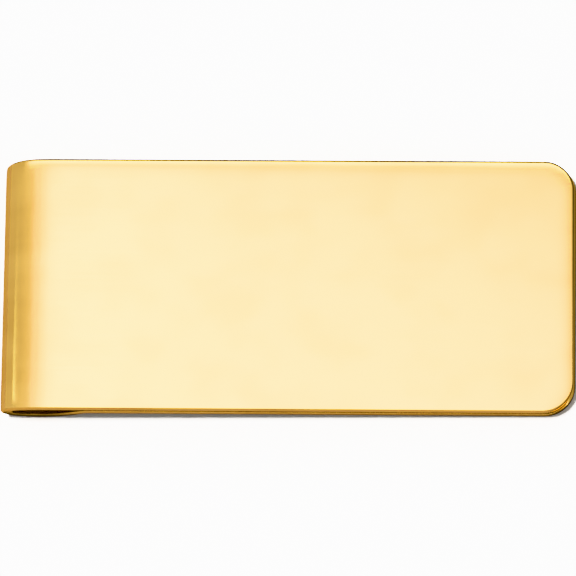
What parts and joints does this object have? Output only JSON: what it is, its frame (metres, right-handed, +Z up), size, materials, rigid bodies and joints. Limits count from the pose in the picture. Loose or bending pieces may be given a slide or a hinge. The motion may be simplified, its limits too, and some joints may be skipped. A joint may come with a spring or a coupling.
{
  "type": "money clip",
  "caption": "Slim one-strip money clip: a flat rounded front plate rolls into a teardrop spring loop, and a back leg runs along under it to clamp folded bills.",
  "frame": {"origin": "centre of the bounding box's footprint, on the table that the clip lies on", "axes": "+X along the clip from the loop to the mouth, +Y across the strip, +Z up, with the front plate on top; the clip lies on the sole of its loop and the tip of its leg"},
  "size_m": [0.0508, 0.0228, 0.0039],
  "materials": {
    "front_plate": "gold-plated, bright polished",
    "spring_loop": "gold-plated, bright polished",
    "back_leg": "gold-plated, bright polished"
  },
  "bodies": {
    "leg": {"back_leg": "back_leg", "spring_loop": "spring_loop"},
    "plate": {"front_plate": "front_plate"}
  },
  "joints": [
    {"name": "loop_flex", "type": "hinge", "parent": "leg", "child": "plate", "pos_m": [-0.02367, 0, 0.00197], "axis": [0, -1, 0], "range_deg": [0, 6], "stiffness_Nm_per_rad": 5, "deforming": ["spring_loop"]}
  ]
}
